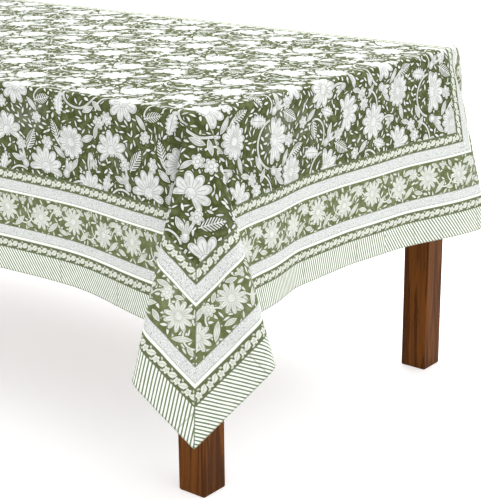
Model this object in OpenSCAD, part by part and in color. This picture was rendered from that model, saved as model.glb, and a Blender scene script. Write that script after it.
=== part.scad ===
/* [Table] */
// Length of the table top, along X
table_l = 1500; // [1300:10:1700]
// Width of the table top, along Y
table_w = 900; // [800:10:1000]
// Height of the cloth's upper face above the floor
overall_h = 760; // [720:5:790]
// Thickness of the top boards
top_t = 25; // [20:1:32]
// Radius of the table top's corners in plan
corner_r = 40; // [25:5:45]
// Chamfer around the upper edge of the table top
top_chamfer = 4; // [2:1:6]
// Number of glued boards across the width
board_count = 6; // [6:1:6]

/* [Legs and frame] */
// Side of the square legs
leg_w = 65; // [55:1:75]
// Distance from the edge of the top to the outer face of a leg
leg_inset = 15; // [12:1:30]
// Rounding of the long edges of a leg
leg_round = 3; // [1:1:5]
// Height of the aprons
apron_h = 90; // [80:1:110]
// Thickness of the aprons
apron_t = 22; // [18:1:26]
// Step from a leg's outer face back to the apron's face
apron_step = 8; // [4:1:12]
// Thickness of the corner blocks
block_t = 24; // [20:1:28]
// Height of the corner blocks
block_h = 62; // [56:1:70]

/* [Fasteners] */
// Radius of the hanger bolts
bolt_r = 4; // [3:0.5:5]
// Distance between the two hanger bolts of a leg
bolt_pitch = 34; // [30:1:40]
// Radius of the screws that hold the wooden buttons
screw_r = 2; // [1.5:0.5:2.5]

/* [Cloth] */
// Hemmed length of the cloth
cloth_l = 2286; // [2100:1:2400]
// Hemmed width of the cloth
cloth_w = 1486; // [1400:1:1600]
// How far the cloth hangs at the front
front_drop = 400; // [360:5:430]
// How far the cloth hangs at the right-hand end
right_drop = 400; // [360:5:430]
// Thickness of the cloth
cloth_t = 0.8; // [0.6:0.1:1.2]
// Width of the turned hem
hem_w = 12; // [8:1:16]
// Clear space between the cloth and the table
cloth_gap = 0.6; // [0.4:0.1:1]
// How far a panel leans out at its hem, as a share of its drop
panel_lean = 0.05; // [0.03:0.01:0.08]

/* [Hidden] */

// Wood and metal colours
wood_dark = [0.30, 0.15, 0.08];
wood_mid = [0.38, 0.21, 0.11];
wood_pale = [0.62, 0.45, 0.28];
steel = [0.70, 0.70, 0.72];
cloth_green = [0.55, 0.60, 0.42];
cloth_white = [0.90, 0.92, 0.86];

// Heights
top_z = overall_h - cloth_t - cloth_gap;
frame_z = top_z - top_t;
apron_z = frame_z - apron_h;

// Drops on the two sides that the cut size leaves
back_drop = cloth_w - table_w - front_drop;
left_drop = cloth_l - table_l - right_drop;

// A fold at a corner stands out by this share of the drop beside it
fold_reach = 0.445;
back_fold_reach = 0.70;
table_x = (left_drop - right_drop) * fold_reach / 2;
table_y = (front_drop * fold_reach - back_drop * back_fold_reach) / 2;

// The four corners as [side along X, side along Y]
FRONT_LEFT = [-1, -1];
FRONT_RIGHT = [1, -1];
BACK_LEFT = [-1, 1];
BACK_RIGHT = [1, 1];
CORNERS = [FRONT_LEFT, FRONT_RIGHT, BACK_RIGHT, BACK_LEFT];

// ---------- table top ----------

// Points of a rectangle with round corners, centred on the origin
function round_rect(l, w, r, steps) = [
    for (k = [0:3], i = [0:steps])
        let (a = 90 * k + 90 * i / steps,
             sx = (k == 0 || k == 3) ? 1 : -1,
             sy = k < 2 ? 1 : -1)
        [sx * (l / 2 - r) + r * cos(a), sy * (w / 2 - r) + r * sin(a)]
];

// One layer of the table top's outline
module top_outline(inset, z, h) {
    translate([0, 0, z])
        linear_extrude(h)
            polygon(round_rect(table_l - 2 * inset, table_w - 2 * inset, corner_r - inset, 8));
}

// Places where a wooden button holds the top: [x, y, turn]
button_v = leg_inset + apron_step + apron_t;
long_button_x = table_l / 2 - 300;
end_button_y = 200;
BUTTONS = concat(
    [for (x = [-long_button_x, 0, long_button_x]) [x, button_v - table_w / 2, 0]],
    [for (x = [-long_button_x, 0, long_button_x]) [x, table_w / 2 - button_v, 180]],
    [for (y = [-end_button_y, end_button_y]) [button_v - table_l / 2, y, -90]],
    [for (y = [-end_button_y, end_button_y]) [table_l / 2 - button_v, y, 90]]
);
screw_out = 17;
screw_up = 14;

module top_board(k) {
    strip = table_w / board_count;
    color(k % 2 == 0 ? wood_mid : wood_dark)
    translate([table_x, table_y, 0])
    difference() {
        intersection() {
            hull() {
                top_outline(0, frame_z, top_t - top_chamfer);
                top_outline(top_chamfer, top_z - 0.5, 0.5);
            }
            translate([-table_l, -table_w / 2 + k * strip, frame_z - 1])
                cube([2 * table_l, strip, top_t + 2]);
        }
        for (b = BUTTONS)
            button_place(b)
                translate([0, screw_out, frame_z - 1])
                    cylinder(r = screw_r + 0.05, h = screw_up + 1.1, $fn = 32);
    }
}

// ---------- frame ----------

// Square with rounded corners, drawn from its own centre
module leg_section(inset) {
    polygon(round_rect(leg_w - 2 * inset, leg_w - 2 * inset, leg_round, 4));
}

// Local frame of a corner: the table's corner at the origin, +X and +Y running inwards
module at_corner(c) {
    translate([table_x + c[0] * table_l / 2, table_y + c[1] * table_w / 2, 0])
        mirror([c[0] > 0 ? 1 : 0, 0, 0])
            mirror([0, c[1] > 0 ? 1 : 0, 0])
                children();
}

leg_in = leg_inset + leg_w;
seat_cut = 14;
seat_sum = 2 * leg_in - seat_cut;
block_gap = 4;
block_near = seat_sum + block_gap * sqrt(2);
block_far = block_near + block_t * sqrt(2);
block_z = apron_z + (apron_h - block_h) / 2;
bolt_z = [block_z + (block_h - bolt_pitch) / 2, block_z + (block_h + bolt_pitch) / 2];
bolt_in = 38;
washer_t = 1.6;
nut_t = 6.5;
bolt_tail = 4;

// Moves to a hanger bolt's axis, +Z running out of the leg, from the point on the leg's seat
module on_bolt_axis(z) {
    translate([seat_sum / 2, seat_sum / 2, z])
        rotate([0, 90, 45])
            children();
}

module leg(c) {
    foot = 3;
    color(wood_dark)
    at_corner(c)
    difference() {
        translate([leg_inset + leg_w / 2, leg_inset + leg_w / 2, 0]) {
            translate([0, 0, foot])
                linear_extrude(frame_z - foot)
                    leg_section(0);
            hull() {
                linear_extrude(0.5)
                    leg_section(foot / 2);
                translate([0, 0, foot - 0.5])
                    linear_extrude(0.5)
                        leg_section(0);
            }
        }
        translate([seat_sum / 2, seat_sum / 2, apron_z])
            rotate([0, 0, 45])
                translate([0, -leg_w, 0])
                    cube([leg_w, 2 * leg_w, apron_h + 1]);
        for (z = bolt_z)
            on_bolt_axis(z)
                translate([0, 0, -bolt_in - 0.5])
                    cylinder(r = bolt_r + 0.05, h = bolt_in + 2, $fn = 32);
    }
}

module corner_block(c) {
    face = leg_inset + apron_step + apron_t;
    color(wood_pale)
    at_corner(c)
    difference() {
        translate([0, 0, block_z])
            linear_extrude(block_h)
                polygon([
                    [block_near - face, face],
                    [block_far - face, face],
                    [face, block_far - face],
                    [face, block_near - face]
                ]);
        for (z = bolt_z)
            on_bolt_axis(z)
                cylinder(r = bolt_r + 0.5, h = 2 * block_t, $fn = 32);
    }
}

// A board along X, with a groove on its inner face for the wooden buttons
groove_h = 8;
groove_deep = 9;
groove_down = 12;

module apron(length) {
    difference() {
        translate([-length / 2, 0, apron_z])
            cube([length, apron_t, apron_h]);
        translate([-length / 2 - 1, apron_t - groove_deep, frame_z - groove_down - groove_h])
            cube([length + 2, groove_deep + 1, groove_h]);
    }
}

module long_apron(side) {
    color(wood_mid)
    translate([table_x, table_y + side * (table_w / 2 - leg_inset - apron_step), 0])
        mirror([0, side > 0 ? 1 : 0, 0])
            apron(table_l - 2 * leg_in);
}

module end_apron(side) {
    color(wood_mid)
    translate([table_x + side * (table_l / 2 - leg_inset - apron_step), table_y, 0])
        rotate([0, 0, side * 90])
            apron(table_w - 2 * leg_in);
}

// ---------- fasteners ----------

module hanger_bolts() {
    reach = block_gap + block_t + washer_t + nut_t + bolt_tail;
    color(steel)
    for (c = CORNERS)
        at_corner(c)
            for (z = bolt_z)
                on_bolt_axis(z)
                    translate([0, 0, -bolt_in])
                        cylinder(r = bolt_r, h = bolt_in + reach, $fn = 32);
}

module bolt_washers() {
    color(steel)
    for (c = CORNERS)
        at_corner(c)
            for (z = bolt_z)
                on_bolt_axis(z)
                    translate([0, 0, block_gap + block_t])
                        difference() {
                            cylinder(r = 3 * bolt_r, h = washer_t, $fn = 48);
                            translate([0, 0, -1])
                                cylinder(r = bolt_r + 0.3, h = washer_t + 2, $fn = 32);
                        }
}

module bolt_nuts() {
    color(steel)
    for (c = CORNERS)
        at_corner(c)
            for (z = bolt_z)
                on_bolt_axis(z)
                    translate([0, 0, block_gap + block_t + washer_t])
                        difference() {
                            cylinder(r = 1.88 * bolt_r, h = nut_t, $fn = 6);
                            translate([0, 0, -1])
                                cylinder(r = bolt_r + 0.05, h = nut_t + 2, $fn = 32);
                        }
}

// Moves to a button's place: the apron's inner face at the origin, +Y running inwards
module button_place(b) {
    translate([b[0], b[1], 0])
        rotate([0, 0, b[2]])
            children();
}

button_w = 26;
button_out = 30;
tongue = 7;
button_drop = 19;
head_h = 2.2;

// Side view of a button: a tongue in the apron's groove and a body under the top
module button_profile() {
    low = frame_z - groove_down - groove_h + 0.5;
    polygon([
        [-tongue, low],
        [-tongue, low + groove_h - 1.5],
        [0.5, low + groove_h - 1.5],
        [0.5, frame_z - 0.5],
        [button_out, frame_z - 0.5],
        [button_out, frame_z - button_drop],
        [button_out - 4, low],
    ]);
}

module top_buttons() {
    color(wood_pale)
    translate([table_x, table_y, 0])
    for (b = BUTTONS)
        button_place(b)
            difference() {
                translate([-button_w / 2, 0, 0])
                    rotate([90, 0, 90])
                        linear_extrude(button_w)
                            button_profile();
                translate([0, screw_out, frame_z - 2 * button_drop])
                    cylinder(r = screw_r + 0.3, h = 3 * button_drop, $fn = 32);
                translate([0, screw_out, frame_z - 2 * button_drop])
                    cylinder(r = 2 * screw_r + 0.3, h = button_drop + 3, $fn = 32);
            }
}

module button_screws() {
    head_z = frame_z - button_drop + 3;
    color(steel)
    translate([table_x, table_y, 0])
    for (b = BUTTONS)
        button_place(b)
            translate([0, screw_out, 0]) {
                translate([0, 0, head_z - head_h])
                    cylinder(r = 2 * screw_r, h = head_h, $fn = 32);
                translate([0, 0, head_z - 0.1])
                    cylinder(r = screw_r, h = frame_z + screw_up - head_z, $fn = 32);
            }
}

// ---------- cloth ----------

// How the fabric around a corner hangs, one row per ray from the corner:
// [angle of the ray in the flat cloth, lean along the first side's normal,
//  lean along the second side's normal], where a lean is outward travel per unit of depth.
// A front corner hangs as a broad kite between two folds.
FRONT_FOLD = [
    [0, panel_lean, 0],
    [5, 0.12, -0.01],
    [20, 0.40, -0.01],
    [25, 0.46, 0.02],
    [30, 0.42, 0.10],
    [45, 0.27, 0.27],
    [60, 0.10, 0.42],
    [65, 0.02, 0.46],
    [70, -0.01, 0.40],
    [85, -0.01, 0.12],
    [90, 0, panel_lean]
];
// A back corner runs smoothly out of the end panel and folds out behind the table.
BACK_FOLD = [
    [0, 0.14, 0],
    [8, 0.14, 0.10],
    [25, -0.04, 0.32],
    [43, -0.28, 0.58],
    [50, -0.33, 0.62],
    [57, -0.28, 0.54],
    [75, -0.12, 0.22],
    [85, -0.06, 0.08],
    [90, 0, panel_lean]
];

function unit(v) = v / norm(v);

// The same fold seen from its other side
function swapped(fold) = [for (i = [len(fold) - 1:-1:0]) [90 - fold[i][0], fold[i][2], fold[i][1]]];

function lean(fold, a, axis) = lookup(a, [for (f = fold) [f[0], f[axis]]]);

// A corner as [first normal, second normal, first drop, second drop, fold], in anticlockwise order
CLOTH_CORNERS = [
    [[0, -1, 0], [1, 0, 0], front_drop, right_drop, FRONT_FOLD],
    [[1, 0, 0], [0, 1, 0], right_drop, back_drop, BACK_FOLD],
    [[0, 1, 0], [-1, 0, 0], back_drop, left_drop, swapped(BACK_FOLD)],
    [[-1, 0, 0], [0, -1, 0], left_drop, front_drop, FRONT_FOLD]
];

skin_r = corner_r + cloth_gap + cloth_t;
roll = 5;
rays = 8;

// Centre of a corner's rounding
function arc_centre(c) =
    [table_x, table_y, 0]
    + (c[0] + c[1])[0] * [table_l / 2 - corner_r, 0, 0]
    + (c[0] + c[1])[1] * [0, table_w / 2 - corner_r, 0];

// The ray that ends in the cloth's own corner
function tip_angle(c) = atan2(c[3] + skin_r, c[2] + skin_r);

// One ray: [foot of the ray, its direction, its length, outward normal in plan]
function ray(c, a) =
    let (out = cos(a) * c[0] + sin(a) * c[1],
         d = unit(lean(c[4], a, 1) * c[0] + lean(c[4], a, 2) * c[1] + [0, 0, -1]),
         reach = min((c[2] + skin_r) / max(cos(a), 0.01), (c[3] + skin_r) / max(sin(a), 0.01)))
    [arc_centre(c) + skin_r * out + [0, 0, overall_h - roll], d, reach - skin_r - roll, out];

// The rays of one corner, one of them through its tip
function corner_rays(c) =
    let (t = tip_angle(c))
    concat([for (i = [0:rays - 1]) ray(c, t * i / rays)],
           [for (i = [0:rays]) ray(c, t + (90 - t) * i / rays)]);

// A ray in the middle of the panel that follows a corner
function panel_ray(c, next) =
    let (out = c[1],
         mid = (arc_centre(c) + arc_centre(next)) / 2)
    [mid + skin_r * out + [0, 0, overall_h - roll], unit(panel_lean * out + [0, 0, -1]),
     c[3] - roll, out];

RAYS = [
    for (k = [0:3])
        let (c = CLOTH_CORNERS[k], next = CLOTH_CORNERS[(k + 1) % 4])
        each concat(corner_rays(c), [panel_ray(c, next)])
];
ray_count = len(RAYS);
per_corner = 2 * rays + 2;

function wrap(i) = (i + ray_count) % ray_count;
function ray_point(i, share) = RAYS[wrap(i)][0] + RAYS[wrap(i)][1] * RAYS[wrap(i)][2] * share;

// Outward normal of the hanging cloth along a ray
function ray_normal(i) = unit(cross(RAYS[i][1], ray_point(i + 1, 1) - ray_point(i - 1, 1)));

// Share of a ray that lies above the hem
function above_hem(i) = 1 - hem_w / RAYS[i][2];

// Rings of the cloth from the top surface down to the edge, at a depth below the outer face
function ring_on_top(deep) = [
    for (r = RAYS) r[0] - roll * r[3] + [0, 0, roll - deep]
];
function ring_at_fold(deep) = [for (r = RAYS) r[0] - deep * r[3]];
function ring_hanging(deep) = [
    for (i = [0:ray_count - 1]) ray_point(i, above_hem(i)) - deep * ray_normal(i)
];
function ring_at_edge(deep) = [
    for (i = [0:ray_count - 1]) ray_point(i, 1) - deep * ray_normal(i)
];

// Two triangles for the patch p1, p2 (one row) and q1, q2 (the next row). Inside the cloth the
// rows run upwards, and the other diagonal keeps both faces of the cloth parallel.
function patch(p1, p2, q1, q2, inside) =
    inside ? [[p1, p2, q2], [p1, q2, q1]] : [[p1, p2, q1], [p2, q2, q1]];

// The patches between ring k and the ring after it
function band(k) = [
    for (i = [0:ray_count - 1])
        let (j = wrap(i + 1), p = k * ray_count, q = p + ray_count)
        each patch(p + i, p + j, q + i, q + j, k >= 4)
];

module tablecloth() {
    points = concat(
        ring_on_top(0), ring_at_fold(0), ring_hanging(0), ring_at_edge(0),
        ring_at_edge(cloth_t), ring_hanging(cloth_t), ring_at_fold(cloth_t), ring_on_top(cloth_t)
    );
    faces = concat(
        [for (k = [0:6]) each band(k)],
        [[for (i = [ray_count:-1:1]) wrap(i + rays)]],
        [[for (i = [1:ray_count]) 7 * ray_count + wrap(i + rays)]]
    );
    color(cloth_green)
    polyhedron(points, faces);
}

// The turned hem of one side, from one tip of the cloth to the next
module hem(side) {
    first = (side + 3) % 4 * per_corner + rays;
    count = per_corner + 1;
    span = [for (k = [0:count - 1]) wrap(first + k)];
    rows = [ring_hanging(cloth_t), ring_at_edge(cloth_t), ring_at_edge(2 * cloth_t),
            ring_hanging(2 * cloth_t)];
    points = [for (row = rows, i = span) row[i]];
    sides = [
        for (k = [0:3], i = [0:count - 2])
            let (p = k * count + i, q = (k + 1) % 4 * count + i)
            each patch(p, p + 1, q, q + 1, k == 2)
    ];
    start = [0, count, 2 * count, 3 * count];
    stop = [4 * count - 1, 3 * count - 1, 2 * count - 1, count - 1];
    color(cloth_white)
    polyhedron(points, concat(sides, [start], [stop]));
}

top_board(0);  // top_board_1
top_board(1);  // top_board_2
top_board(2);  // top_board_3
top_board(3);  // top_board_4
top_board(4);  // top_board_5
top_board(5);  // top_board_6
long_apron(-1);  // apron_front
long_apron(1);  // apron_back
end_apron(-1);  // apron_left
end_apron(1);  // apron_right
leg(FRONT_LEFT);  // leg_front_left
leg(FRONT_RIGHT);  // leg_front_right
leg(BACK_LEFT);  // leg_back_left
leg(BACK_RIGHT);  // leg_back_right
corner_block(FRONT_LEFT);  // corner_block_front_left
corner_block(FRONT_RIGHT);  // corner_block_front_right
corner_block(BACK_LEFT);  // corner_block_back_left
corner_block(BACK_RIGHT);  // corner_block_back_right
hanger_bolts();
bolt_washers();
bolt_nuts();
top_buttons();
button_screws();
tablecloth();
hem(0);  // hem_front
hem(1);  // hem_right
hem(2);  // hem_back
hem(3);  // hem_left
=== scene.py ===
"""A block-printed cotton tablecloth draped over a wooden table. Metres, in the frame of the CAD."""

import math

import bpy
import numpy as np
from mathutils import Matrix, Vector


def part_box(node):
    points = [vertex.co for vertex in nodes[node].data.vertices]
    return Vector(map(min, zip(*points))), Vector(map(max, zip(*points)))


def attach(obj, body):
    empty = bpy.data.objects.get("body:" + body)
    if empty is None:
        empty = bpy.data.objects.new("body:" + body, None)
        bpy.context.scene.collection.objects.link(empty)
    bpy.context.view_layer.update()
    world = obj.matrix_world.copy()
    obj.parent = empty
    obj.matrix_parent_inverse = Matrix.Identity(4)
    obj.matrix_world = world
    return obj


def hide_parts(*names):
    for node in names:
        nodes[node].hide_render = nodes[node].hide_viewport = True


MM = 0.001

# The hemmed cloth laid flat, and how far it hangs over two edges of the table. The width is read
# from the photo, where part of the back border shows at the far corner, and is 24 mm less than the
# CAD's. The length is outside the photo and is the CAD's.
CLOTH_LENGTH = 2.286
CLOTH_WIDTH = 1.462
RIGHT_DROP = 0.400
FRONT_DROP = 0.400
# Spacing of the cloth's points before it is refined
GRID = 0.013

# Radius of the table top's corners, and of the bend of the cloth over the edge
CORNER_RADIUS = 0.040
EDGE_BEND = 0.006
# Clear space between the wood and the middle of the cloth
SKIN = 1.0 * MM

# Printed bands from the hem inwards, in millimetres
STRIPES = 50
OUTER_VINE = STRIPES + 22
OUTER_PLAIN = OUTER_VINE + 27
FLOWER_BAND = OUTER_PLAIN + 73
INNER_PLAIN = FLOWER_BAND + 28
INNER_VINE = INNER_PLAIN + 22

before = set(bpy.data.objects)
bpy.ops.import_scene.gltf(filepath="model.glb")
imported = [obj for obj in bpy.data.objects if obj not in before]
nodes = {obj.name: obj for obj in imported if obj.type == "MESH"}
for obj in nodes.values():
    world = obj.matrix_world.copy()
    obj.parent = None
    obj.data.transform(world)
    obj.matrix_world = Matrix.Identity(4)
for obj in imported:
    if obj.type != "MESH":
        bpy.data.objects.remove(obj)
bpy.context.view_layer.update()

top_low = Vector(
    min(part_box(f"top_board_{k}")[0][axis] for k in range(1, 7)) for axis in range(3)
)
top_high = Vector(
    max(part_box(f"top_board_{k}")[1][axis] for k in range(1, 7)) for axis in range(3)
)
table_centre = (top_low + top_high) / 2
half_length = (top_high.x - top_low.x) / 2
half_width = (top_high.y - top_low.y) / 2


# ---------- small helpers ----------


def srgb(red, green, blue):
    """A colour given as it looks on screen, as the linear values that Blender takes."""
    return tuple(
        (c / 12.92 if c <= 0.04045 else ((c + 0.055) / 1.055) ** 2.4)
        for c in (red, green, blue)
    ) + (1.0,)


def new_object(name, vertices, faces):
    mesh = bpy.data.meshes.new(name)
    mesh.from_pydata(
        [tuple(v) for v in vertices], [], [tuple(int(i) for i in f) for f in faces]
    )
    mesh.polygons.foreach_set("use_smooth", [True] * len(mesh.polygons))
    mesh.update()
    obj = bpy.data.objects.new(name, mesh)
    bpy.context.scene.collection.objects.link(obj)
    return obj


def smoothstep(low, high, value):
    """0 at low and 1 at high, with no corner at either."""
    t = np.clip((value - low) / (high - low), 0, 1)
    return t * t * (3 - 2 * t)


def new_paint(name):
    """A material, its node tree and its shader."""
    paint = bpy.data.materials.new(name)
    paint.use_nodes = True
    return paint, paint.node_tree, paint.node_tree.nodes["Principled BSDF"]


# ---------- camera, floor and light ----------


def make_camera():
    """The camera stands in front of the near corner of the table, a little above the top. Its
    place, angles and lens were fitted to the straight edges and the feet in the photo."""
    azimuth, elevation, roll = (math.radians(a) for a in (38.964, 17.794, -0.558))
    near_corner = Vector((top_high.x, top_low.y, 0.76))
    back = Vector(
        (
            math.sin(azimuth) * math.cos(elevation),
            -math.cos(azimuth) * math.cos(elevation),
            math.sin(elevation),
        )
    )
    right = (-back).cross(Vector((0, 0, 1))).normalized()
    up = right.cross(-back)
    turned_right = right * math.cos(roll) + up * math.sin(roll)
    turned_up = up * math.cos(roll) - right * math.sin(roll)
    rotation = Matrix((turned_right, turned_up, back)).transposed()
    data = bpy.data.cameras.new("camera")
    data.lens = 99.2
    data.sensor_width = 36
    camera = bpy.data.objects.new("camera", data)
    camera.matrix_world = (
        Matrix.Translation(near_corner + Vector((1.5431, -1.7930, 0.5090)))
        @ rotation.to_4x4()
    )
    bpy.context.scene.collection.objects.link(camera)
    bpy.context.scene.camera = camera


def area_light(name, place, aim, size, power):
    data = bpy.data.lights.new(name, "AREA")
    data.shape = "DISK"
    data.size = size
    data.energy = power
    light = bpy.data.objects.new(name, data)
    light.location = place
    light.rotation_euler = (
        (Vector(aim) - Vector(place)).to_track_quat("-Z", "Y").to_euler()
    )
    bpy.context.scene.collection.objects.link(light)


def make_studio():
    floor = new_object(
        "floor",
        [(-30, -30, 0), (30, -30, 0), (30, 30, 0), (-30, 30, 0)],
        [(0, 1, 2, 3)],
    )
    paint, _, shader = new_paint("floor_paint")
    shader.inputs["Base Color"].default_value = (0.90, 0.90, 0.90, 1)
    shader.inputs["Roughness"].default_value = 0.9
    # a lit white floor, as in the photo
    shader.inputs["Emission Color"].default_value = (1, 1, 1, 1)
    shader.inputs["Emission Strength"].default_value = 0.42
    floor.data.materials.append(paint)

    world = bpy.data.worlds.new("studio")
    world.use_nodes = True
    world.node_tree.nodes["Background"].inputs[0].default_value = (1, 1, 1, 1)
    world.node_tree.nodes["Background"].inputs[1].default_value = 1.0
    bpy.context.scene.world = world
    area_light("key", (2.6, -0.8, 3.0), (0.2, 0, 0.6), 2.2, 17)
    area_light("overhead", (0, 0.8, 3.0), (0, 0, 0.7), 2.4, 72)
    bpy.context.scene.view_settings.view_transform = "Standard"


# ---------- how the cloth hangs ----------

# A corner's fabric hangs as a fan of straight lines from the table's corner. These are directions
# on the way round it, from the end of the table to its front or back: [lean away from the end,
# lean away from the front or back], where a lean is outward travel per unit of depth.
FRONT_FAN = [
    (0.06, 0.0), (0.01, 0.03), (0.47, 0.14), (0.29, 0.33), (0.08, 0.47), (0.07, 0.0), (0.0, 0.12)
]
FRONT_FOLDS = (2, 4)
BACK_FAN = [(0.20, 0.0), (0.22, 0.12), (-0.34, 0.70), (-0.06, 0.06), (0.0, 0.04)]
BACK_FOLDS = (2,)
# Lean of each side between its corners: [place along the side, lean]
END_LEANS = [(-0.41, 0.10), (-0.28, 0.05), (-0.08, -0.07), (0.20, 0.01), (0.41, 0.20)]
FRONT_LEANS = [(-0.71, 0.12), (-0.40, -0.02), (0.0, 0.03), (0.40, -0.03), (0.71, 0.12)]
BACK_LEANS = [(-0.71, 0.04), (-0.3, 0.02), (0.3, 0.05), (0.71, 0.04)]
# Points from one direction of a fan to the next, and in the whole fan once they are even
SPAN_STEPS = 200
FAN_STEPS = 361
# Times the fan is softened, so that its folds are round
FAN_SOFTENING = 60
# Length of a corner's fan, as a share of a quarter turn
FAN_FILL = 0.985
# Least and greatest stretch tried on a fan's folds, and how often the gap is halved
LEAST_STRETCH, MOST_STRETCH = 0.4, 2.5
STRETCH_HALVINGS = 30
# The grid is finer from this far inside the table's edge to this far outside it
FINE_INSIDE, FINE_OUTSIDE = 0.048, 0.018
# How far the cloth is turned on the table, in radians
TURN = 0.010


def fan_directions(leans, fold_places):
    """Directions round a corner at even steps of 0 to 90 degrees of flat cloth. The folds lean
    out just far enough for the cloth to keep its width."""

    def even_steps(line):
        steps = np.linalg.norm(np.diff(line, axis=0), axis=1)
        run = np.concatenate([[0], np.cumsum(steps)])
        even = np.linspace(0, run[-1], FAN_STEPS)
        return np.stack([np.interp(even, run, line[:, k]) for k in range(3)], axis=1)

    def path(stretch):
        points = []
        for k, (a, b) in enumerate(leans):
            grow = stretch if k in fold_places else 1
            points.append(np.array([a * grow, b * grow, -1.0]))
        points = [p / np.linalg.norm(p) for p in points]
        line = []
        for p, q in zip(points, points[1:]):
            t = np.linspace(0, 1, SPAN_STEPS, endpoint=False)[:, None]
            line.append(p * (1 - t) + q * t)
        line = np.vstack(line + [points[-1][None]])
        line /= np.linalg.norm(line, axis=1)[:, None]
        soft = even_steps(line)
        for _ in range(FAN_SOFTENING):
            soft[1:-1] = (soft[:-2] + 2 * soft[1:-1] + soft[2:]) / 4
        soft /= np.linalg.norm(soft, axis=1)[:, None]
        return soft, np.linalg.norm(np.diff(soft, axis=0), axis=1).sum()

    low, high = LEAST_STRETCH, MOST_STRETCH
    for _ in range(STRETCH_HALVINGS):
        middle = (low + high) / 2
        if path(middle)[1] < math.pi / 2 * FAN_FILL:
            low = middle
        else:
            high = middle
    return even_steps(path(middle)[0])


def grid_lines(start, end, half_table):
    """Places of the cloth's lines along one axis, closer together where it bends over the
    table's edges."""
    bends = [
        (side - FINE_INSIDE * sign, side + FINE_OUTSIDE * sign)
        for side, sign in ((-half_table, -1), (half_table, 1))
    ]
    stops = [start, *sorted(bends[0]), *sorted(bends[1]), end]
    lines = [np.array([start])]
    for k, (low, high) in enumerate(zip(stops, stops[1:])):
        spacing = GRID / 2 if k in (1, 3) else GRID
        count = round((high - low) / spacing)
        lines.append(np.linspace(low, high, count + 1)[1:])
    return np.concatenate(lines)


def flat_grid():
    """Flat positions of the cloth's points, from the table's centre, as [column, row, x or y]."""
    x = grid_lines(half_length + RIGHT_DROP - CLOTH_LENGTH, half_length + RIGHT_DROP, half_length)
    y = grid_lines(-half_width - FRONT_DROP, CLOTH_WIDTH - half_width - FRONT_DROP, half_width)
    return np.stack(np.meshgrid(x, y, indexing="ij"), axis=-1)


def turned_on_table(flat):
    """The cloth doesn't lie quite square: its right-hand drop grows towards the back, and its
    front drop shrinks towards the left."""
    placed = flat.copy()
    x, y = flat[..., 0], flat[..., 1]
    right, front = half_length + RIGHT_DROP, half_width + FRONT_DROP
    placed[..., 0] += np.maximum(x - half_length, 0) / RIGHT_DROP * TURN * (y + front)
    placed[..., 1] += np.maximum(-half_width - y, 0) / FRONT_DROP * TURN * (right - x)
    return placed


def side_lean(controls, place):
    """The lean of a side at a place along it, passing smoothly between its control points."""
    lean = np.full(place.shape, float(controls[0][1]))
    for (a, lean_a), (b, lean_b) in zip(controls, controls[1:]):
        lean += (lean_b - lean_a) * smoothstep(a, b, place)
    return lean


def hang(flat):
    """Where each flat point hangs before the cloth is relaxed: flat on the top, over the edge,
    and down along the fan of its corner or the slope of its side."""
    skin = CORNER_RADIUS + SKIN
    x, y = flat[..., 0], flat[..., 1]
    sx, sy = np.where(x < 0, -1.0, 1.0), np.where(y < 0, -1.0, 1.0)
    over_x = np.abs(x) - (half_length - CORNER_RADIUS)
    over_y = np.abs(y) - (half_width - CORNER_RADIUS)
    ax, ay = np.maximum(over_x, 0), np.maximum(over_y, 0)
    radius = np.hypot(ax, ay)
    angle = np.arctan2(ay, ax)
    out = np.stack([sx * np.cos(angle), sy * np.sin(angle), 0 * x], axis=-1)

    front = fan_directions(FRONT_FAN, FRONT_FOLDS)
    back = fan_directions(BACK_FAN, BACK_FOLDS)
    place = angle / (math.pi / 2) * (FAN_STEPS - 1)

    def fan(table, axis):
        return np.interp(place, np.arange(FAN_STEPS), table[:, axis])

    # the corner's first side is the end of the table, its second the front or the back
    is_front = y < 0
    lean_x = np.where(is_front, fan(front, 0), fan(back, 0))
    lean_y = np.where(is_front, fan(front, 1), fan(back, 1))
    down = np.where(is_front, fan(front, 2), fan(back, 2))
    direction = np.stack([sx * lean_x, sy * lean_y, down], axis=-1)

    # between the corners a side hangs with its own lean
    side_x = (over_x > 0) & (over_y <= 0)
    side_y = (over_y > 0) & (over_x <= 0)
    end = side_lean(END_LEANS, y)
    long_side = np.where(is_front, side_lean(FRONT_LEANS, x), side_lean(BACK_LEANS, x))
    for side, lean, axis, sign in ((side_x, end, 0, sx), (side_y, long_side, 1, sy)):
        hanging = np.zeros_like(direction)
        hanging[..., axis] = sign * lean
        hanging[..., 2] = -1
        hanging /= np.linalg.norm(hanging, axis=-1)[..., None]
        direction = np.where(side[..., None], hanging, direction)

    centre = np.stack(
        [
            np.where(over_x > 0, sx * (half_length - CORNER_RADIUS), x),
            np.where(over_y > 0, sy * (half_width - CORNER_RADIUS), y),
            0 * x,
        ],
        axis=-1,
    )
    cosine = (out * direction).sum(-1)
    bend = np.arccos(np.clip(cosine, -1, 1))
    sideways = direction - cosine[..., None] * out
    sideways /= np.linalg.norm(sideways, axis=-1)[..., None] + 1e-9
    start = skin - EDGE_BEND
    over = np.maximum(radius - start, 0)
    turn = np.minimum(over / EDGE_BEND, bend)
    straight = np.maximum(over - EDGE_BEND * bend, 0)
    place = (
        centre
        + out
        * (np.minimum(radius, start) + EDGE_BEND * np.sin(turn))[..., None]
        + sideways * (EDGE_BEND * (1 - np.cos(turn)))[..., None]
        + direction * straight[..., None]
    )
    place[..., 2] += top_high.z + SKIN
    return place, radius


RELAX_ROUNDS = 600
# Fall in each round, and the share of the rounds that have it
GRAVITY_STEP = 2.5e-5
GRAVITY_SHARE = 0.8
# Share of its speed that a point keeps from one round to the next
SPEED_KEPT = 0.95
# Pull back to where a point was hung, in the first half and in the second
FIRM_HOLD, LOOSE_HOLD = 0.010, 0.002
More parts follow.
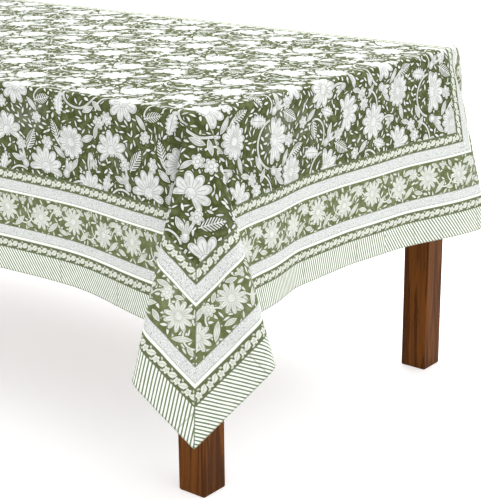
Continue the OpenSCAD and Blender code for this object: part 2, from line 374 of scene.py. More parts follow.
# The cloth may move from this far inside the table's edge
FREE_MARGIN = 0.012
# The legs and aprons stand at least this far inside the top's edge
FRAME_SETBACK = 0.012


def relax(place, flat, radius):
    """Settles the cloth: its threads keep their length, it resists bending, it rests on the
    table, and it stays close to how it was hung."""
    points = place.reshape(-1, 3).copy()
    goal = place.reshape(-1, 3)
    flat_points = flat.reshape(-1, 2)
    moving = (radius > CORNER_RADIUS - FREE_MARGIN).astype(float).reshape(-1)
    columns, rows = place.shape[:2]
    i, j = np.meshgrid(np.arange(columns), np.arange(rows), indexing="ij")
    links = []

    # pairs of points that many columns and rows apart, in two groups that share no point
    for di, dj, stiffness, only_short in (
        (1, 0, 1.0, False),
        (0, 1, 1.0, False),
        (1, 1, 0.35, False),
        (1, -1, 0.35, False),
        (2, 0, 0.10, True),
        (0, 2, 0.10, True),
        (4, 0, 0.03, True),
        (0, 4, 0.03, True),
    ):
        inside = (i + di < columns) & (j + dj < rows) & (j + dj >= 0)
        turn = (i // di if di else j // dj) % 2
        for parity in (0, 1):
            pick = inside & (turn == parity)
            a = (i * rows + j)[pick]
            b = a + di * rows + dj
            busy = moving[a] + moving[b] > 0
            a, b = a[busy], b[busy]
            rest = np.linalg.norm(flat_points[b] - flat_points[a], axis=1)
            share = stiffness / (moving[a] + moving[b])
            links.append(
                (a, b, rest, (share * moving[a])[:, None], (share * moving[b])[:, None], only_short)
            )

    speed = np.zeros_like(points)
    for n in range(RELAX_ROUNDS):
        before = points.copy()
        gravity = GRAVITY_STEP if n < GRAVITY_SHARE * RELAX_ROUNDS else 0
        points += moving[:, None] * (SPEED_KEPT * speed - [0, 0, gravity])
        for a, b, rest, weight_a, weight_b, only_short in links:
            gap = points[b] - points[a]
            length = np.sqrt((gap * gap).sum(1)) + 1e-9
            pull = (length - rest) / length
            if only_short:
                pull = np.minimum(pull, 0)
            gap *= pull[:, None]
            points[a] += weight_a * gap
            points[b] -= weight_b * gap
        hold = FIRM_HOLD if n < RELAX_ROUNDS // 2 else LOOSE_HOLD
        points += (hold * moving)[:, None] * (goal - points)
        keep_off_table(points)
        speed = points - before
    return points.reshape(place.shape)


def keep_off_table(points):
    """Moves points that are inside the table top, with its rounded upper edge, or inside the
    legs and aprons below it, to the surface."""
    across_x = np.abs(points[:, 0]) - (half_length - CORNER_RADIUS)
    across_y = np.abs(points[:, 1]) - (half_width - CORNER_RADIUS)
    out_x, out_y = np.maximum(across_x, 0), np.maximum(across_y, 0)
    size = np.hypot(out_x, out_y)
    plan = size + np.minimum(np.maximum(across_x, across_y), 0) - CORNER_RADIUS - SKIN
    plan = np.where(points[:, 2] < top_low.z, plan + FRAME_SETBACK, plan)
    ahead = np.maximum(plan + EDGE_BEND, 0)
    above = np.maximum(points[:, 2] - (top_high.z + SKIN - EDGE_BEND), 0)
    reach = np.hypot(ahead, above)
    height = points[:, 2] - top_high.z - SKIN
    depth = EDGE_BEND - reach - np.minimum(np.maximum(plan + EDGE_BEND, height + EDGE_BEND), 0)
    deep = np.flatnonzero(depth > 0)
    if not len(deep):
        return
    size, reach = np.maximum(size[deep], 1e-9), reach[deep]
    along_x = np.where(size > 1e-6, out_x[deep] / size, across_x[deep] > across_y[deep])
    along_y = np.where(size > 1e-6, out_y[deep] / size, across_x[deep] <= across_y[deep])
    side = np.where(reach > 1e-6, ahead[deep] / np.maximum(reach, 1e-9), 1.0)
    lift = np.where(reach > 1e-6, above[deep] / np.maximum(reach, 1e-9), 0.0)
    points[deep, 0] += np.sign(points[deep, 0]) * along_x * side * depth[deep]
    points[deep, 1] += np.sign(points[deep, 1]) * along_y * side * depth[deep]
    points[deep, 2] += lift * depth[deep]


def refine(values):
    """Puts a point between each two, on a smooth curve through the points, along the first axis."""
    padded = np.concatenate(
        [2 * values[:1] - values[1:2], values, 2 * values[-1:] - values[-2:-1]]
    )
    between = (9 * (padded[1:-2] + padded[2:-1]) - padded[:-3] - padded[3:]) / 16
    result = np.empty((2 * len(values) - 1,) + values.shape[1:])
    result[::2] = values
    result[1::2] = between
    return result


def refine_both(grid):
    return refine(refine(grid).swapaxes(0, 1)).swapaxes(0, 1)


def grid_faces(columns, rows):
    i, j = np.meshgrid(np.arange(columns - 1), np.arange(rows - 1), indexing="ij")
    first = (i * rows + j).ravel()
    return np.stack([first, first + rows, first + rows + 1, first + 1], axis=1)


def keep_flat_coordinates(obj, flat):
    """Stores each point's place in the flat cloth, in millimetres from its centre, for the
    print."""
    attribute = obj.data.attributes.new("flat", "FLOAT_VECTOR", "POINT")
    middle = np.array(
        [half_length + RIGHT_DROP - CLOTH_LENGTH / 2, CLOTH_WIDTH / 2 - half_width - FRONT_DROP]
    )
    values = np.zeros((len(flat), 3), np.float32)
    values[:, :2] = (flat - middle) / MM
    attribute.data.foreach_set("vector", values.ravel())
    return values


def make_cloth():
    flat = flat_grid()
    placed = turned_on_table(flat)
    place, radius = hang(placed)
    place = relax(place, placed, radius)
    place, flat = refine_both(place), refine_both(flat)
    columns, rows = place.shape[:2]
    keep_off_table(place.reshape(-1, 3))
    world = place + np.array([table_centre.x, table_centre.y, 0])
    cloth = new_object("tablecloth_print", world.reshape(-1, 3), grid_faces(columns, rows))
    values = keep_flat_coordinates(cloth, flat.reshape(-1, 2))
    layer = cloth.data.uv_layers.new(name="OFBake")
    corners = np.zeros(len(cloth.data.loops), np.int32)
    cloth.data.loops.foreach_get("vertex_index", corners)
    uv = values[:, :2] * MM / [CLOTH_LENGTH, CLOTH_WIDTH] + 0.5
    layer.data.foreach_set("uv", uv[corners].astype(np.float32).ravel())
    return cloth, world, flat


# ---------- printed cotton ----------


class Value:
    """A number in a shader, so that a pattern reads as ordinary arithmetic."""

    def __init__(self, tree, socket):
        self.tree, self.socket = tree, socket

    def math(self, operation, *others):
        node = self.tree.nodes.new("ShaderNodeMath")
        node.operation = operation
        for slot, value in zip(node.inputs, (self, *others)):
            if isinstance(value, Value):
                self.tree.links.new(value.socket, slot)
            else:
                slot.default_value = value
        return Value(self.tree, node.outputs[0])

    def __add__(self, other):
        return self.math("ADD", other)

    def __sub__(self, other):
        return self.math("SUBTRACT", other)

    def __rsub__(self, other):
        return self.math("MULTIPLY", -1).math("ADD", other)

    def __mul__(self, other):
        return self.math("MULTIPLY", other)

    def __truediv__(self, other):
        return self.math("DIVIDE", other)

    __radd__, __rmul__ = __add__, __mul__

    def __abs__(self):
        return self.math("ABSOLUTE")

    def fade(self, low, high):
        """0 below low and 1 above high, or the other way round where low is the larger."""
        node = self.tree.nodes.new("ShaderNodeMapRange")
        node.interpolation_type = "SMOOTHSTEP"
        flip = low > high
        self.tree.links.new(self.socket, node.inputs["Value"])
        node.inputs["From Min"].default_value = min(low, high)
        node.inputs["From Max"].default_value = max(low, high)
        node.inputs["To Min"].default_value = 1.0 if flip else 0.0
        node.inputs["To Max"].default_value = 0.0 if flip else 1.0
        return Value(self.tree, node.outputs["Result"])


def least(a, b):
    return a.math("MINIMUM", b)


def most(a, b):
    return a.math("MAXIMUM", b)


def choose(condition, a, b):
    """a where condition is 1, b where it is 0."""
    return b + condition * (a - b)


def noise(tree, x, y, size, detail=2.0, seed=0.0):
    """Smooth noise from 0 to 1 with features of about that many millimetres."""
    place = tree.nodes.new("ShaderNodeCombineXYZ")
    for slot, value in zip(place.inputs, (x, y)):
        tree.links.new(value.socket, slot)
    place.inputs[2].default_value = seed * size
    node = tree.nodes.new("ShaderNodeTexNoise")
    node.inputs["Scale"].default_value = 1 / size
    node.inputs["Detail"].default_value = detail
    tree.links.new(place.outputs[0], node.inputs["Vector"])
    return Value(tree, node.outputs["Fac"])


def blend_colour(tree, amount, a, b):
    """Colour a where amount is 0 and b where it is 1. A colour is a tuple or a colour socket."""
    node = tree.nodes.new("ShaderNodeMix")
    node.data_type = "RGBA"
    tree.links.new(amount.socket, node.inputs[0])
    for slot, value in ((node.inputs[6], a), (node.inputs[7], b)):
        if isinstance(value, tuple):
            slot.default_value = value
        else:
            tree.links.new(value, slot)
    return node.outputs[2]


def turned(x, y, degrees):
    c, s = math.cos(math.radians(degrees)), math.sin(math.radians(degrees))
    return x * c + y * s, y * c - x * s


class Motifs:
    """Gathers printed shapes: the distance to the nearest outline, negative inside, and to the
    nearest fine line drawn in a shape, in millimetres. Each shape is drawn in a small tree of its
    own, which keeps the script quick."""

    def __init__(self, tree, x, y, repeat):
        self.tree, self.x, self.y, self.repeat = tree, x, y, repeat
        self.outline = self.lines = None

    def stamp(self, x, y, turn, draw):
        group = bpy.data.node_groups.new("motif", "ShaderNodeTree")
        for name in ("x", "y"):
            group.interface.new_socket(name=name, in_out="INPUT", socket_type="NodeSocketFloat")
        for name in ("outline", "lines"):
            group.interface.new_socket(name=name, in_out="OUTPUT", socket_type="NodeSocketFloat")
        entry = group.nodes.new("NodeGroupInput")
        result = group.nodes.new("NodeGroupOutput")
        inner_x, inner_y = (Value(group, socket) for socket in entry.outputs[:2])
        drawn = draw(*turned(*self.repeat(inner_x - x, inner_y - y), turn))
        for value, slot in zip(drawn, result.inputs):
            group.links.new(value.socket, slot)
        node = self.tree.nodes.new("ShaderNodeGroup")
        node.node_tree = group
        for value, slot in zip((self.x, self.y), node.inputs):
            self.tree.links.new(value.socket, slot)
        outline = Value(self.tree, node.outputs[0])
        self.outline = least(self.outline, outline) if self.outline else outline
        if len(drawn) > 1:
            lines = Value(self.tree, node.outputs[1])
            self.lines = least(self.lines, lines) if self.lines else lines

    def flower(self, x, y, radius, petals, turn=0, depth=0.45, fan=0):
        """A flower of pointed petals round its middle. With fan, petals fill only that many
        degrees to each side of its axis."""

        def draw(px, py):
            size = (px * px + py * py).math("SQRT")
            angle = py.math("ARCTAN2", px)
            wave = abs((angle * (petals / 2)).math("COSINE"))
            shape = wave.math("POWER", 0.7) * (radius * depth) + radius * (1 - depth)
            if fan:
                opening = abs(angle).fade(math.radians(fan + 12), math.radians(fan - 8))
                shape = shape * (opening * 0.7 + 0.3)
            outline = (size - shape) * 0.8
            veins = abs((angle * petals).math("SINE")) * size * (1.1 / petals)
            rays = most(most(veins, radius * 0.34 - size), size - radius * 0.72)
            return outline, least(rays, abs(size - radius * 0.27))

        self.stamp(x, y, turn, draw)

    def rosette(self, x, y, radius, petals, turn=0):
        def draw(px, py):
            size = (px * px + py * py).math("SQRT")
            wave = abs((py.math("ARCTAN2", px) * (petals / 2)).math("COSINE"))
            outline = (size - wave * (radius * 0.35) - radius * 0.65) * 0.8
            return outline, abs(size - radius * 0.3)

        self.stamp(x, y, turn, draw)

    def leaf(self, x, y, length, width, turn=0, teeth=0.0):
        def draw(px, py):
            along = px / (length / 2)
            half = (1 - along * along) * (width / 2)
            if teeth:
                half = half + (px / teeth).math("PINGPONG", 1.0) * (width * 0.2) - width * 0.1
            return abs(py) - half, most(abs(py), abs(px) - length * 0.38)

        self.stamp(x, y, turn, draw)

    def fern(self, x, y, length, width, turn=0, pitch=6.0):
        """A spine with slanting leaflets on both sides."""

        def draw(px, py):
            side = abs(py)
            along = px / (length / 2)
            envelope = side - (1 - along * along) * (width / 2)
            leaflets = 1.5 - (px - side * 0.9).math("PINGPONG", pitch / 2)
            spine = most(side - 0.9, abs(px) - length / 2)
            return (least(most(envelope, leaflets), spine),)

        self.stamp(x, y, turn, draw)

    def stem(self, x, y, radius, start, sweep, thickness=2.2):
        """An arc of a circle round a point, from one angle through a sweep, in degrees."""

        def draw(px, py):
            size = (px * px + py * py).math("SQRT")
            past_end = abs(py.math("ARCTAN2", px)) - math.radians(sweep / 2)
            return (most(abs(size - radius) - thickness, past_end * radius),)

        self.stamp(x, y, start + sweep / 2, draw)

    def drawn_lines(self):
        """Fine lines of the motifs, with one more that follows each outline inside it."""
        return least(self.lines, abs(self.outline + 2.3))


FIELD_REPEAT = (290.0, 185.0)
FIELD_SHIFT = 95.0
BAND_REPEAT = 183.0
VINE_REPEAT = 27.0


def field_motifs(tree, x, y):
    """The middle of the cloth: open flowers, buds and leaves on curling stems."""

    def repeat(dx, dy):
        row = dy.math("WRAP", FIELD_REPEAT[1] / 2, -FIELD_REPEAT[1] / 2)
        dx = dx - (dy - row) * (FIELD_SHIFT / FIELD_REPEAT[1])
        return dx.math("WRAP", FIELD_REPEAT[0] / 2, -FIELD_REPEAT[0] / 2), row

    motifs = Motifs(tree, x, y, repeat)
    # curling stems
    motifs.stem(58, 62, 46, 190, 150)
    motifs.stem(150, 8, 44, 20, 150, 1.8)
    motifs.stem(212, 92, 40, 150, 170, 2.0)
    motifs.stem(270, 20, 38, 60, 120, 1.8)
    motifs.stem(120, 150, 40, 200, 120, 1.8)
    # open flowers
    motifs.flower(52, 66, 44, 11, 85, 0.34, fan=112)
    motifs.flower(176, 40, 38, 9, 20, 0.42)
    motifs.flower(126, 128, 34, 12, 0, 0.24)
    motifs.flower(238, 128, 40, 9, 100, 0.40, fan=125)
    # buds
    motifs.flower(108, 62, 32, 15, 60, 0.40, fan=34)
    motifs.flower(286, 66, 30, 15, 125, 0.40, fan=34)
    motifs.flower(180, 108, 26, 15, -70, 0.42, fan=36)
    # leaves
    motifs.leaf(8, 18, 52, 24, 80, teeth=4)
    motifs.leaf(224, 62, 44, 20, 70, teeth=4)
    motifs.leaf(86, 16, 34, 13, 25)
    motifs.leaf(110, 26, 30, 11, -30)
    motifs.leaf(132, 84, 34, 12, 50)
    motifs.leaf(92, 104, 36, 13, -35)
    motifs.leaf(172, 142, 38, 14, 20)
    motifs.leaf(196, 158, 30, 11, 75)
    motifs.leaf(262, 76, 30, 12, -20)
    motifs.leaf(222, 8, 34, 13, -50)
    # ferns
    motifs.fern(14, 118, 52, 24, 60)
    motifs.fern(252, 22, 44, 20, 15)
    motifs.fern(84, 146, 46, 20, 110)
    # rosettes
    motifs.rosette(134, 4, 15, 7, 10)
    motifs.rosette(60, 118, 15, 6)
    motifs.rosette(276, 106, 14, 7, 30)
    motifs.rosette(206, 178, 14, 6)
    motifs.rosette(36, 166, 13, 6, 15)
    return motifs


def band_motifs(tree, along, across):
    """The broad border: star flowers, buds and slanting leaves, from the middle of the band."""

    def repeat(dx, dy):
        return dx.math("WRAP", BAND_REPEAT / 2, -BAND_REPEAT / 2), dy

    motifs = Motifs(tree, along, across, repeat)
    motifs.stem(92, 0, 22, 200, 150, 1.5)
    motifs.stem(2, -4, 20, 20, 150, 1.5)
    motifs.stem(128, 6, 26, 180, 100, 1.3)
    motifs.flower(46, 4, 28, 11, 10, 0.55)
    motifs.flower(138, -3, 27, 10, 0, 0.55)
    motifs.flower(90, 20, 14, 9, 90, 0.45, fan=60)
    motifs.rosette(2, 18, 13, 7)
    motifs.leaf(78, -20, 38, 11, 40)
    motifs.leaf(170, -19, 38, 11, 38)
    motifs.leaf(104, -24, 22, 9, -15)
    motifs.leaf(16, -24, 26, 10, 165)
    motifs.leaf(68, 27, 24, 9, -25)
    motifs.leaf(168, 24, 28, 10, 20)
    motifs.leaf(112, 26, 18, 8, -60)
    motifs.leaf(24, 27, 20, 8, 30)
    return motifs


def small_leaves(tree, x, y, size):
    """Little leaves turned every way, one to a patch of that many millimetres."""
    place = tree.nodes.new("ShaderNodeCombineXYZ")
    for slot, value in zip(place.inputs, (x, y)):
        tree.links.new(value.socket, slot)
    cells = tree.nodes.new("ShaderNodeTexVoronoi")
    cells.voronoi_dimensions = "2D"
    cells.inputs["Scale"].default_value = 1 / size
    cells.inputs["Randomness"].default_value = 0.8
    tree.links.new(place.outputs[0], cells.inputs["Vector"])
    split = tree.nodes.new("ShaderNodeSeparateXYZ")
    tree.links.new(cells.outputs["Position"], split.inputs[0])
    tint = tree.nodes.new("ShaderNodeSeparateColor")
    tree.links.new(cells.outputs["Color"], tint.inputs[0])
    # a cell's position comes out in the same millimetres as x and y
    dx = x - Value(tree, split.outputs[0])
    dy = y - Value(tree, split.outputs[1])
    turn = Value(tree, tint.outputs[0]) * (2 * math.pi)
    c, s = turn.math("COSINE"), turn.math("SINE")
    px, py = dx * c + dy * s, dy * c - dx * s
    along = px * (2.1 / size)
    half = Value(tree, tint.outputs[1]) * (size * 0.08) + size * 0.10
    return abs(py) - (1 - along * along) * half


def cotton_colour(tree):
    """The whole print, from the flat cloth's millimetres."""
    source = tree.nodes.new("ShaderNodeAttribute")
    source.attribute_name = "flat"
    split = tree.nodes.new("ShaderNodeSeparateXYZ")
    tree.links.new(source.outputs["Vector"], split.inputs[0])
    flat_x, flat_y = Value(tree, split.outputs[0]), Value(tree, split.outputs[1])

    # block printing wanders a little
    wobble = noise(tree, flat_x, flat_y, 60, 1, 3) - 0.5
    x = flat_x + wobble * 3
    y = flat_y + wobble * -3

    # distance from the nearest hem, and the way along it, turning a quarter at each mitre
    from_x = CLOTH_LENGTH / MM / 2 - abs(flat_x)
    from_y = CLOTH_WIDTH / MM / 2 - abs(flat_y)
    on_end = from_x.math("LESS_THAN", from_y)
    inward = least(from_x, from_y)
    along = choose(on_end, y * x.math("SIGN"), x * y.math("SIGN") * -1)
    mitre = abs(from_x - from_y)

    def inside(low, high):
        return inward.math("GREATER_THAN", low) * inward.math("LESS_THAN", high)

    # field
    field = field_motifs(tree, x, y)
    filler = small_leaves(tree, x, y, 15)
    field_shape = least(field.outline, most(filler, 3.4 - field.outline))
    ground_tone = noise(tree, x, y, 14, 3, 1)
    near = field_shape.fade(5.0, 0.5)
    uneven = ground_tone.fade(0.35, 0.7)
    faint = ground_tone.fade(0.4, 0.65)
    green = blend_colour(tree, uneven, srgb(0.25, 0.28, 0.15), srgb(0.37, 0.40, 0.25))
    green = blend_colour(tree, near * 0.55, green, srgb(0.22, 0.26, 0.12))
    petal = blend_colour(tree, faint, srgb(0.84, 0.85, 0.84), srgb(0.76, 0.77, 0.76))
    drawn = field.drawn_lines().fade(1.1, 0.4) * field.outline.fade(-1.0, -2.0)
    petal = blend_colour(tree, drawn * 0.75, petal, srgb(0.54, 0.57, 0.53))
    field_colour = blend_colour(tree, field_shape.fade(-0.4, 0.4), petal, green)

    # broad flower border
    middle = (OUTER_PLAIN + FLOWER_BAND) / 2
    band = band_motifs(tree, along, inward - middle)
    band_shape = least(band.outline, most(filler, 2.2 - band.outline))
    band_green = blend_colour(tree, uneven, srgb(0.36, 0.39, 0.25), srgb(0.45, 0.48, 0.34))
    band_petal = blend_colour(tree, faint, srgb(0.84, 0.85, 0.82), srgb(0.78, 0.79, 0.77))
    band_drawn = band.drawn_lines().fade(1.0, 0.3) * band.outline.fade(-1.0, -2.0)
    band_petal = blend_colour(tree, band_drawn * 0.65, band_petal, srgb(0.58, 0.61, 0.53))
    band_colour = blend_colour(tree, band_shape.fade(-0.4, 0.4), band_petal, band_green)

    # the two narrow vine borders
    vine_middle = choose(
        inward.math("GREATER_THAN", middle),
        inward - (INNER_PLAIN + INNER_VINE) / 2,
        inward - (STRIPES + OUTER_VINE) / 2,
    )

    def vine_repeat(dx, dy):
        return dx.math("WRAP", VINE_REPEAT / 2, -VINE_REPEAT / 2), dy

    vine = Motifs(tree, along, vine_middle, vine_repeat)
    vine.leaf(0, 0.5, 18, 10.5, 35)
    vine.rosette(13.5, -1.5, 6.8, 5)
    vine.leaf(20, 6.5, 7, 3.2, -30)
    vine.leaf(7, -7.5, 8, 3.2, 10)
    vine.stem(7, 3, 7, 150, 100, 0.7)
    vine_leaf = blend_colour(
        tree, vine.lines.fade(0.9, 0.4) * 0.6, srgb(0.83, 0.84, 0.80), srgb(0.55, 0.58, 0.50)
    )
    vine_colour = blend_colour(
        tree, vine.outline.fade(-0.4, 0.4), vine_leaf, srgb(0.37, 0.40, 0.28)
    )

    # plain bands with a fine scribble, and a white line on their outer side
    curls = (noise(tree, x, y, 7.0, 0, 7) * 6).math("PINGPONG", 0.5)
    scribble = curls.fade(0.26, 0.10)
    plain = blend_colour(tree, scribble * 0.75, srgb(0.85, 0.86, 0.85), srgb(0.56, 0.58, 0.57))
    white_line = least(inside(OUTER_VINE, OUTER_VINE + 6) + inside(FLOWER_BAND, FLOWER_BAND + 5), 1)
    plain = blend_colour(tree, white_line, plain, srgb(0.94, 0.95, 0.91))

    # slanting stripes along the hem
    def slanted(degrees):
        slant = math.radians(degrees)
        return along * math.sin(slant) + inward * math.cos(slant)

    upright = on_end * abs(along).math("LESS_THAN", 1.5 * BAND_REPEAT)
    phase = choose(upright, slanted(74), slanted(57))
    stripe = phase.math("PINGPONG", 3.2) + (ground_tone - 0.5) * 0.8
    stripes = blend_colour(
        tree, stripe.fade(1.45, 2.15), srgb(0.92, 0.93, 0.90), srgb(0.42, 0.48, 0.37)
    )

    colour = blend_colour(tree, inward.math("GREATER_THAN", STRIPES), stripes, vine_colour)
    colour = blend_colour(tree, inward.math("GREATER_THAN", OUTER_VINE), colour, plain)
    colour = blend_colour(tree, inward.math("GREATER_THAN", OUTER_PLAIN), colour, band_colour)
    colour = blend_colour(tree, inward.math("GREATER_THAN", FLOWER_BAND), colour, plain)
    colour = blend_colour(tree, inward.math("GREATER_THAN", INNER_PLAIN), colour, vine_colour)
    colour = blend_colour(tree, inward.math("GREATER_THAN", INNER_VINE), colour, field_colour)

    # thin dark lines between the bands, and along the mitres
    edge = abs(inward - STRIPES)
    for line in (OUTER_VINE, OUTER_PLAIN, FLOWER_BAND, INNER_PLAIN, INNER_VINE):
        edge = least(edge, abs(inward - line))
    ruled = edge.fade(1.3, 0.7)
    rim = least(abs(inward - (OUTER_VINE + 7)), abs(inward - (FLOWER_BAND + 6))).fade(0.9, 0.4)
    ruled = most(ruled, rim * 0.6)
    seam = mitre.fade(2.4, 1.2) * inward.math("LESS_THAN", INNER_VINE)
    seam = seam * (1 - inside(OUTER_VINE, OUTER_PLAIN)) * (1 - inside(FLOWER_BAND, INNER_PLAIN))
    colour = blend_colour(tree, most(ruled, seam) * 0.75, colour, srgb(0.38, 0.42, 0.30))

    # the shaded turn of the hem, and the places where two printing blocks met
    from_joint = abs(along.math("WRAP", BAND_REPEAT / 2, -BAND_REPEAT / 2))
    joint = from_joint.fade(1.8, 0.6) * inside(0, OUTER_VINE)
    hem_edge = inward.fade(1.6, 0.4)
    colour = blend_colour(tree, most(joint * 0.45, hem_edge * 0.5), colour, srgb(0.42, 0.45, 0.36))

    # uneven dye
    worn = noise(tree, flat_x, flat_y, 150, 4, 5)
    colour = blend_colour(tree, worn.fade(0.55, 0.8) * 0.12, colour, srgb(0.92, 0.93, 0.90))
    return colour, flat_x, flat_y


def cotton_material():
    paint, tree, shader = new_paint("printed_cotton")
    colour, x, y = cotton_colour(tree)
    thread = 0.55
    warp = abs((x * (math.pi / thread)).math("SINE"))
    weft = abs((y * (math.pi / thread)).math("SINE"))
    weave = warp * 0.5 + weft * 0.5
    slub = noise(tree, x * 0.25, y, 3.0, 3, 9)
    height = weave * 0.35 + slub
    bump = tree.nodes.new("ShaderNodeBump")
    bump.inputs["Strength"].default_value = 0.35
    bump.inputs["Distance"].default_value = 0.0004
    tree.links.new(height.socket, bump.inputs["Height"])
    tree.links.new(colour, shader.inputs["Base Color"])
    tree.links.new(bump.outputs[0], shader.inputs["Normal"])
    roughness = slub * 0.15 + 0.78
    tree.links.new(roughness.socket, shader.inputs["Roughness"])
    shader.inputs["Specular IOR Level"].default_value = 0.08
    shader.inputs["Sheen Weight"].default_value = 0.05
    shader.inputs["Sheen Roughness"].default_value = 0.45
    return paint


# ---------- hems and stitches ----------


class Surface:
    """Finds points of the hanging cloth from flat positions."""

    def __init__(self, world, flat):
        self.x, self.y = flat[:, 0, 0], flat[0, :, 1]
        self.world = world
        normal = np.cross(np.gradient(world, axis=0), np.gradient(world, axis=1))
        self.normal = normal / np.linalg.norm(normal, axis=-1)[..., None]

    def at(self, x, y, lift):
        """World points at flat x and y, lifted along the cloth's outer normal."""
        i = np.clip(np.searchsorted(self.x, x) - 1, 0, len(self.x) - 2)
        j = np.clip(np.searchsorted(self.y, y) - 1, 0, len(self.y) - 2)
        u = ((x - self.x[i]) / (self.x[i + 1] - self.x[i]))[..., None]
        v = ((y - self.y[j]) / (self.y[j + 1] - self.y[j]))[..., None]

        def mix(grid):
            low = grid[i, j] * (1 - u) + grid[i + 1, j] * u
            high = grid[i, j + 1] * (1 - u) + grid[i + 1, j + 1] * u
            return low * (1 - v) + high * v

        return mix(self.world) + mix(self.normal) * np.asarray(lift)[..., None]


# Section of the turned hem: [distance in from the edge, lift off the outer face], in millimetres
HEM_SECTION = [
    (1.2, 0.25), (0.0, 0.45), (-0.7, 0.1), (-0.9, -0.6), (-0.4, -1.2), (1.5, -1.5),
    (6.0, -1.4), (11.0, -1.3), (12.0, -1.0), (12.3, -0.2),
]
# Step along the hem from one section to the next, and the stitches: how far in from the edge,
# their length, the step from one to the next, their radius, how far from a tip they start, and
# the gap under them, all in millimetres
HEM_STEP = 7.0
STITCH_IN = 10.6
STITCH_LENGTH = 2.3
STITCH_STEP = 3.4
STITCH_RADIUS = 0.25
STITCH_FROM_TIP = 14
STITCH_GAP = 0.1
# A stitch's five points: [share of its length, radii across, radii above the gap]
STITCH_POINTS = [
    (0.0, 0, 0.0), (0.5, -1, 0.15), (0.5, 0, 1.0), (0.5, 1, 0.15), (1.0, 0, 0.0),
]
STITCH_FACES = [(0, 1, 2), (0, 2, 3), (4, 2, 1), (4, 3, 2)]


def side_positions(surface, side, along, inward):
    """Flat x and y at a distance along a side and in from its edge, going anticlockwise."""
    low_x, high_x = surface.x[0], surface.x[-1]
    low_y, high_y = surface.y[0], surface.y[-1]
    return {
        "front": (low_x + along, low_y + inward),
        "right": (high_x - inward, low_y + along),
        "back": (high_x - along, high_y - inward),
        "left": (low_x + inward, high_y - along),
    }[side]


def make_hem(surface, side, length):
    """The turned edge of one side, swept along it, with the print carried over it."""
    along = np.linspace(0, length, round(length / (HEM_STEP * MM)) + 1)
    from_tip = np.minimum(along, length - along)
    rows, flats = [], []
    for inward, lift in HEM_SECTION:
        # mitred at the tips
        reach = np.minimum(inward * MM, from_tip + 0.3 * MM)
        x, y = side_positions(surface, side, along, reach)
        rows.append(surface.at(x, y, np.full(len(along), lift * MM)))
        flats.append(np.stack([x, y], axis=1))
    count = len(along)
    vertices, flat = np.concatenate(rows), np.concatenate(flats)
    k, i = np.meshgrid(np.arange(len(HEM_SECTION) - 1), np.arange(count - 1), indexing="ij")
    first = (k * count + i).ravel()
    faces = np.stack([first, first + count, first + count + 1, first + 1], axis=1)
    hem = new_object(f"turned_hem_{side}", vertices, faces)
    keep_flat_coordinates(hem, flat)
    return hem


def make_stitches(surface, lengths):
    """A row of short stitches along each side, on the outer face, each a thin spindle of thread."""
    vertices, faces = [], []
    for side, length in lengths.items():
        margin = STITCH_FROM_TIP * MM
        start = np.arange(margin, length - margin, STITCH_STEP * MM)
        for share, across, lift in STITCH_POINTS:
            x, y = side_positions(
                surface,
                side,
                start + share * STITCH_LENGTH * MM,
                (STITCH_IN + across * STITCH_RADIUS) * MM + 0 * start,
            )
            off_cloth = (STITCH_GAP + lift * STITCH_RADIUS) * MM
            vertices.append(surface.at(x, y, np.full(len(start), off_cloth)))
    points, base, corners = [], 0, len(STITCH_POINTS)
    for k in range(0, len(vertices), corners):
        group = np.stack(vertices[k : k + corners], axis=1).reshape(-1, 3)
        first = base + corners * np.arange(len(group) // corners)
        for a, b, c in STITCH_FACES:
            faces.append(np.stack([first + a, first + b, first + c], axis=1))
        points.append(group)
        base += len(group)
    return new_object("hem_stitches", np.concatenate(points), np.concatenate(faces))


def thread_material():
    paint, tree, shader = new_paint("hem_thread")
    place = tree.nodes.new("ShaderNodeTexCoord")
    twist = tree.nodes.new("ShaderNodeTexNoise")
    twist.inputs["Scale"].default_value = 900
    tree.links.new(place.outputs["Object"], twist.inputs["Vector"])
    colour = blend_colour(
        tree, Value(tree, twist.outputs["Fac"]), srgb(0.95, 0.95, 0.92), srgb(0.80, 0.82, 0.76)
    )
    tree.links.new(colour, shader.inputs["Base Color"])
    shader.inputs["Roughness"].default_value = 0.8
    return paint


# ---------- wood and steel ----------


def wood_material(name, stretch, dark, light, figure=38.0):
    """Wood with its grain along the axis that stretch is small on."""
    paint, tree, shader = new_paint(name)
    place = tree.nodes.new("ShaderNodeTexCoord")
    scale = tree.nodes.new("ShaderNodeVectorMath")
    scale.operation = "MULTIPLY"
    scale.inputs[1].default_value = stretch
    tree.links.new(place.outputs["Object"], scale.inputs[0])

    def grain(size, detail, distortion=0.0):
        node = tree.nodes.new("ShaderNodeTexNoise")
        node.inputs["Scale"].default_value = size
        node.inputs["Detail"].default_value = detail
        node.inputs["Distortion"].default_value = distortion
        tree.links.new(scale.outputs[0], node.inputs["Vector"])
        return Value(tree, node.outputs["Fac"])

    rings = grain(figure, 3, 0.8)
    bands = (rings * 9).math("PINGPONG", 1.0)
    fibres = grain(figure * 9, 4)
    pores = grain(figure * 16, 2).fade(0.60, 0.70)
    tone = bands * 0.45 + rings.fade(0.35, 0.65) * 0.35 + fibres * 0.35
    colour = blend_colour(tree, tone, dark, light)
    colour = blend_colour(tree, pores * 0.5, colour, tuple(0.35 * c for c in dark[:3]) + (1.0,))
    bump = tree.nodes.new("ShaderNodeBump")
    bump.inputs["Strength"].default_value = 0.25
    bump.inputs["Distance"].default_value = 0.0005
    height = fibres - pores * 0.6
    tree.links.new(height.socket, bump.inputs["Height"])
    roughness = fibres * 0.2 + 0.42
    tree.links.new(colour, shader.inputs["Base Color"])
    tree.links.new(bump.outputs[0], shader.inputs["Normal"])
    tree.links.new(roughness.socket, shader.inputs["Roughness"])
    shader.inputs["Specular IOR Level"].default_value = 0.08
    return paint


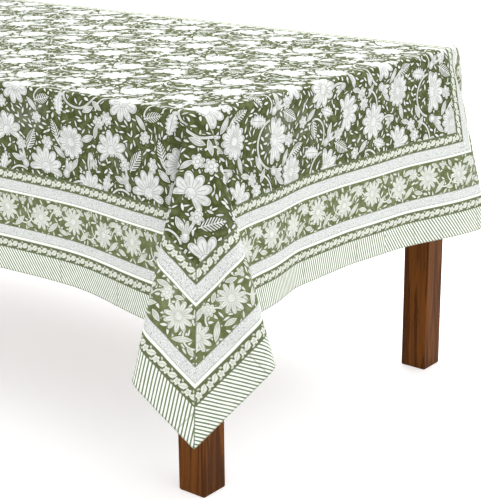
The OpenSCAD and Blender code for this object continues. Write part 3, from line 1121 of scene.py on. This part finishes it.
def steel_material():
    paint, tree, shader = new_paint("zinc_plated_steel")
    place = tree.nodes.new("ShaderNodeTexCoord")
    wear = tree.nodes.new("ShaderNodeTexNoise")
    wear.inputs["Scale"].default_value = 400
    wear.inputs["Detail"].default_value = 4
    tree.links.new(place.outputs["Object"], wear.inputs["Vector"])
    amount = Value(tree, wear.outputs["Fac"])
    colour = blend_colour(tree, amount, srgb(0.80, 0.80, 0.82), srgb(0.62, 0.62, 0.64))
    roughness = amount * 0.3 + 0.2
    tree.links.new(colour, shader.inputs["Base Color"])
    tree.links.new(roughness.socket, shader.inputs["Roughness"])
    shader.inputs["Metallic"].default_value = 1.0
    return paint


def finish_frame():
    """Gives every part of the table its wood or steel."""
    red_dark, red_light = srgb(0.13, 0.03, 0.0), srgb(0.44, 0.25, 0.06)
    upright = wood_material("leg_hardwood", (1.0, 1.0, 0.07), red_dark, red_light)
    along_x = wood_material("board_hardwood_long", (0.07, 1.0, 1.0), red_dark, red_light)
    along_y = wood_material("board_hardwood_end", (1.0, 0.07, 1.0), red_dark, red_light)
    pale = wood_material(
        "pale_hardwood", (0.12, 0.12, 1.0), srgb(0.55, 0.38, 0.22), srgb(0.76, 0.60, 0.40), 60.0
    )
    steel = steel_material()
    finishes = {
        "leg_": upright,
        "top_board": along_x,
        "apron_front": along_x,
        "apron_back": along_x,
        "apron_": along_y,
        "corner_block": pale,
        "top_buttons": pale,
        "hanger_bolts": steel,
        "bolt_": steel,
        "button_screws": steel,
    }
    for name, node in nodes.items():
        paint = next((m for start, m in finishes.items() if name.startswith(start)), None)
        if paint:
            for slot in node.material_slots:
                slot.material = paint


make_camera()
make_studio()
cloth, world, flat = make_cloth()
cotton = cotton_material()
cloth.data.materials.append(cotton)
surface = Surface(world, flat)
lengths = {
    "front": CLOTH_LENGTH, "right": CLOTH_WIDTH, "back": CLOTH_LENGTH, "left": CLOTH_WIDTH
}
hems = [make_hem(surface, side, length) for side, length in lengths.items()]
for hem in hems:
    hem.data.materials.append(cotton)
    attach(hem, "cloth")
stitches = make_stitches(surface, lengths)
stitches.data.materials.append(thread_material())
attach(stitches, "cloth")
finish_frame()
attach(cloth, "cloth")
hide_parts("tablecloth")
for side, hem in zip(lengths, hems):
    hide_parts(f"hem_{side}")
